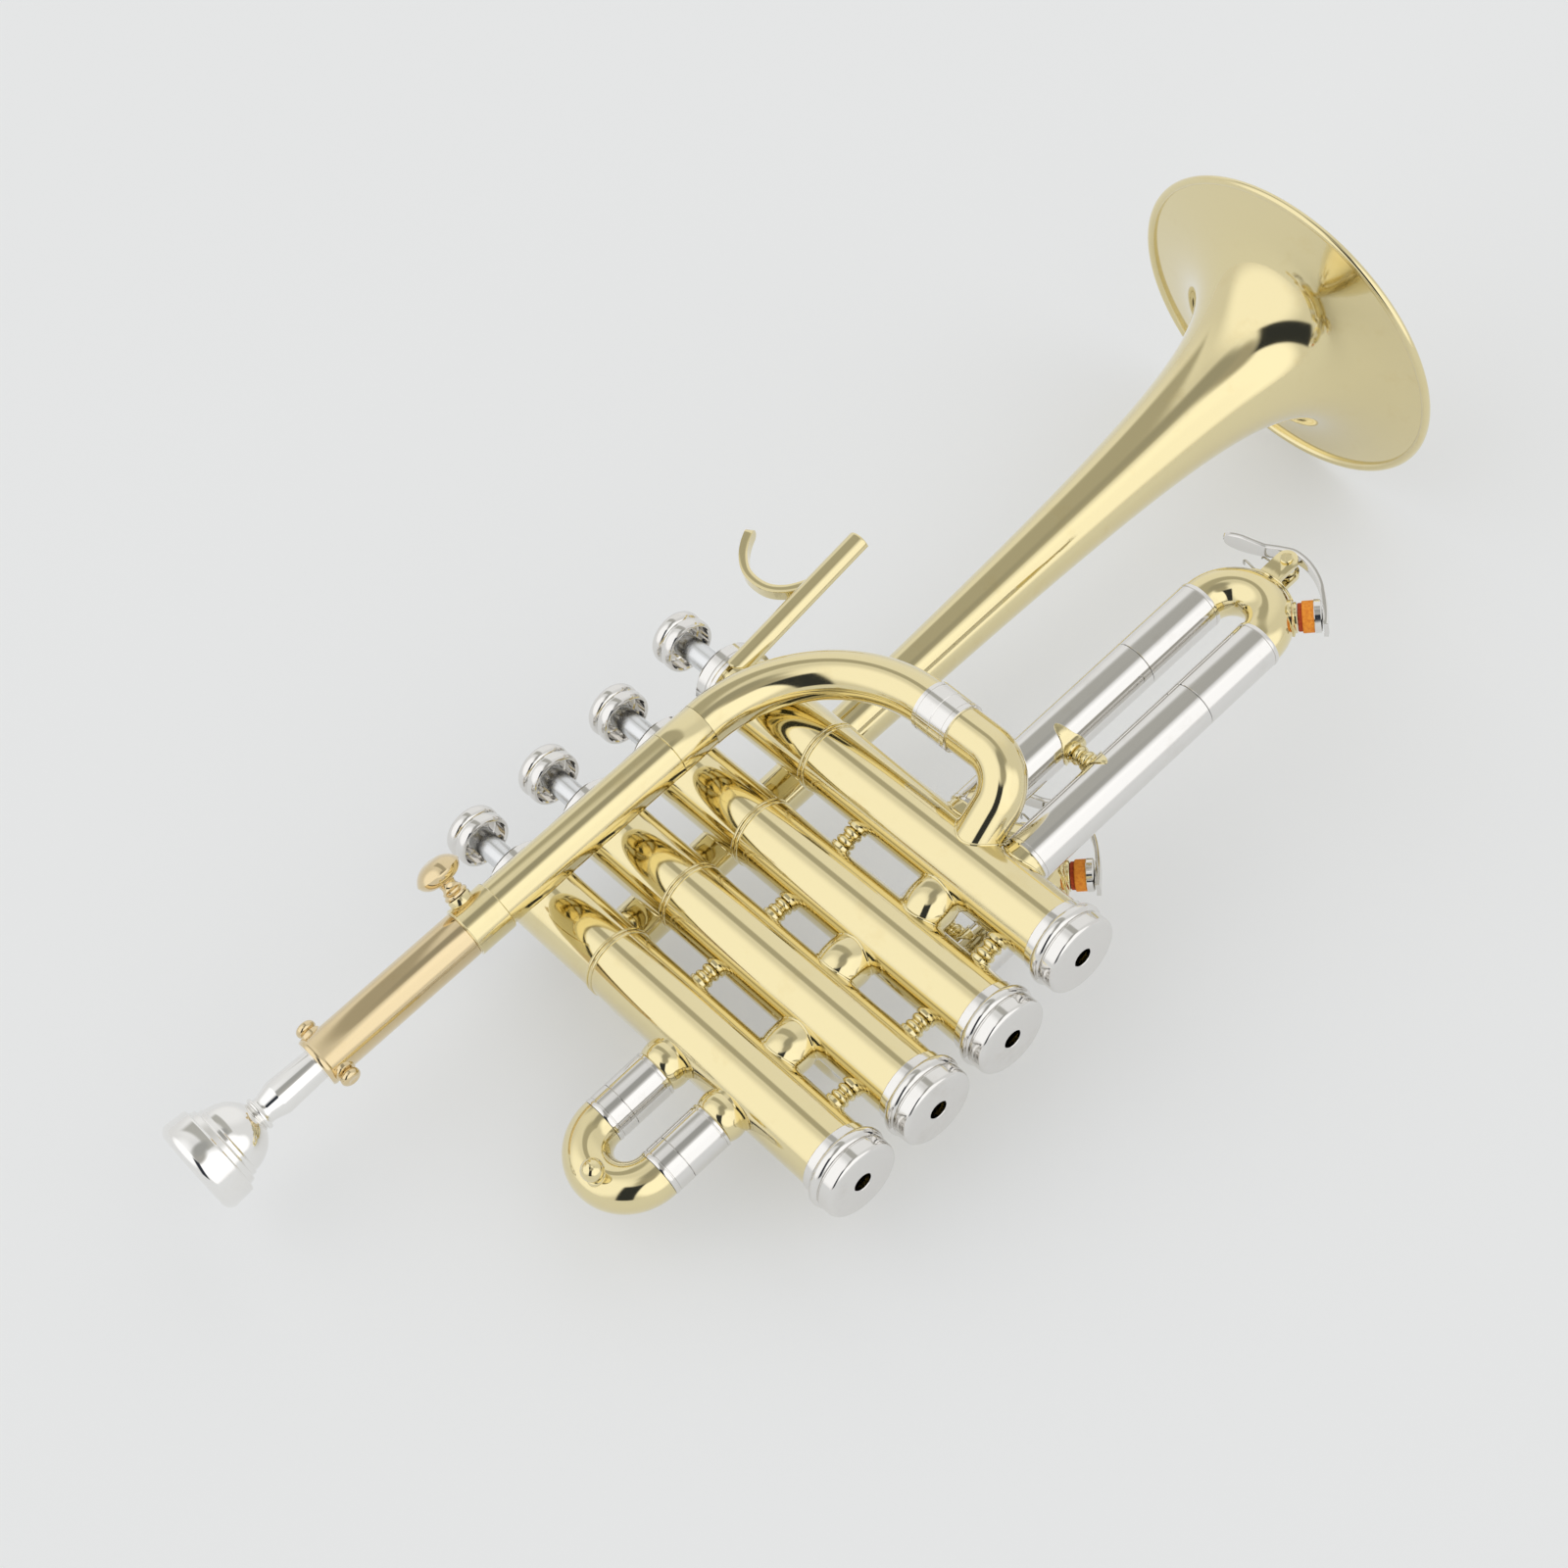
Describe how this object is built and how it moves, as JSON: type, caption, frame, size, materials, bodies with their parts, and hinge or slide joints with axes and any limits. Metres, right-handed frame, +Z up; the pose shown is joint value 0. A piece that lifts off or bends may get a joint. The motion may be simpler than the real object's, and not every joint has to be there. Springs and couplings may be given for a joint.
{
  "type": "piccolo trumpet",
  "caption": "High-pitched brass trumpet with straight bell, piston valves, pull slides, sprung water keys and a sliding leadpipe, lying on its side.",
  "frame": {"origin": "centre of the bounding box on the surface that it lies on", "axes": "+Z up from that surface, +Y from the mouthpiece towards the bell, seen from above"},
  "size_m": [0.1698, 0.4094, 0.1061],
  "materials": {
    "lacquered_brass": "polished under clear lacquer",
    "nickel": "polished nickel plate",
    "silver_plate": "polished silver plate",
    "valve_metal": "honed",
    "spring_steel": "drawn wire",
    "felt": "pressed felt",
    "cork": "matte synthetic cork"
  },
  "bodies": {
    "trumpet_body": {"bell": "lacquered_brass", "bell_crook": "lacquered_brass", "bell_rim_wire": "lacquered_brass", "body_stays": "lacquered_brass", "bottom_cap_1": "nickel", "bottom_cap_2": "nickel", "bottom_cap_3": "nickel", "bottom_cap_4": "nickel", "cap_felts": "felt", "casing_1": "lacquered_brass", "casing_2": "lacquered_brass", "casing_3": "lacquered_brass", "casing_4": "lacquered_brass", "clamp_collar": "lacquered_brass", "crossover_tubes": "lacquered_brass", "finger_hook": "lacquered_brass", "leadpipe_bend": "lacquered_brass", "leadpipe_elbow": "lacquered_brass", "leadpipe_ferrule": "nickel", "leadpipe_tube": "lacquered_brass", "slide_sleeves": "nickel", "top_cap_1": "nickel", "top_cap_2": "nickel", "top_cap_3": "nickel", "top_cap_4": "nickel", "valve_guides": "valve_metal", "valve_spring_1": "spring_steel", "valve_spring_2": "spring_steel", "valve_spring_3": "spring_steel", "valve_spring_4": "spring_steel"},
    "valve_1": {"piston_1": "valve_metal", "button_1": "nickel"},
    "valve_2": {"piston_2": "valve_metal", "button_2": "nickel"},
    "valve_3": {"piston_3": "valve_metal", "button_3": "nickel"},
    "valve_4": {"piston_4": "valve_metal", "button_4": "nickel"},
    "shank": {"leadpipe_shank": "lacquered_brass"},
    "mouthpiece": {"mouthpiece": "silver_plate"},
    "clamp_screw": {"clamp_screw": "lacquered_brass"},
    "slide_1": {"slide_legs_1": "nickel", "slide_bow_1": "lacquered_brass", "slide_1_knob": "lacquered_brass"},
    "slide_2": {"slide_legs_2": "nickel", "slide_bow_2": "lacquered_brass"},
    "water_key_3": {"water_key_3": "nickel", "water_key_cork_3": "cork"},
    "slide_3": {"slide_legs_3": "nickel", "slide_bow_3": "lacquered_brass", "water_key_post_3": "lacquered_brass", "water_key_screw_3": "nickel", "water_key_spring_3": "spring_steel"},
    "water_key_4": {"water_key_4": "nickel", "water_key_cork_4": "cork"},
    "slide_4": {"slide_legs_4": "nickel", "slide_bow_4": "lacquered_brass", "water_key_post_4": "lacquered_brass", "water_key_screw_4": "nickel", "water_key_spring_4": "spring_steel"}
  },
  "joints": [
    {"name": "valve_1_press", "type": "slide", "parent": "trumpet_body", "child": "valve_1", "axis": [0.9997, -0.004, 0.0236], "range_m": [0, 0.01], "stiffness_N_per_m": 180, "springref_m": -0.012, "deforming": ["valve_spring_1"]},
    {"name": "valve_2_press", "type": "slide", "parent": "trumpet_body", "child": "valve_2", "axis": [0.9997, -0.004, 0.0236], "range_m": [0, 0.01], "stiffness_N_per_m": 180, "springref_m": -0.012, "deforming": ["valve_spring_2"]},
    {"name": "valve_3_press", "type": "slide", "parent": "trumpet_body", "child": "valve_3", "axis": [0.9997, -0.004, 0.0236], "range_m": [0, 0.01], "stiffness_N_per_m": 180, "springref_m": -0.012, "deforming": ["valve_spring_3"]},
    {"name": "valve_4_press", "type": "slide", "parent": "trumpet_body", "child": "valve_4", "axis": [0.9997, -0.004, 0.0236], "range_m": [0, 0.01], "stiffness_N_per_m": 180, "springref_m": -0.012, "deforming": ["valve_spring_4"]},
    {"name": "shank_slide", "type": "slide", "parent": "trumpet_body", "child": "shank", "axis": [0, -0.9859, -0.1673], "range_m": [0, 0.02]},
    {"name": "mouthpiece_pull", "type": "slide", "parent": "shank", "child": "mouthpiece", "axis": [0, -0.9859, -0.1673], "range_m": [0, 0.03]},
    {"name": "clamp_screw_turn", "type": "hinge", "parent": "trumpet_body", "child": "clamp_screw", "pos_m": [-0.0398, -0.11071, 0.05106], "axis": [-0.7238, -0.1155, 0.6802], "range_deg": [0, 360]},
    {"name": "slide_1_pull", "type": "slide", "parent": "trumpet_body", "child": "slide_1", "axis": [0, -0.9859, -0.1673], "range_m": [0, 0.012]},
    {"name": "slide_2_pull", "type": "slide", "parent": "trumpet_body", "child": "slide_2", "axis": [0.024, 0.1673, -0.9856], "range_m": [0, 0.004]},
    {"name": "slide_3_pull", "type": "slide", "parent": "trumpet_body", "child": "slide_3", "axis": [0, 0.9859, 0.1673], "range_m": [0, 0.014]},
    {"name": "water_key_3_lift", "type": "hinge", "parent": "slide_3", "child": "water_key_3", "pos_m": [0.03956, 0.02963, 0.02679], "axis": [-0.024, -0.1673, 0.9856], "range_deg": [0, 14], "stiffness_Nm_per_rad": 0.03, "springref_deg": -20.05},
    {"name": "slide_4_pull", "type": "slide", "parent": "trumpet_body", "child": "slide_4", "axis": [0, 0.9859, 0.1673], "range_m": [0, 0.045]},
    {"name": "water_key_4_lift", "type": "hinge", "parent": "slide_4", "child": "water_key_4", "pos_m": [0.04264, 0.11074, 0.06701], "axis": [-0.024, -0.1673, 0.9856], "range_deg": [0, 14], "stiffness_Nm_per_rad": 0.03, "springref_deg": -20.05}
  ]
}
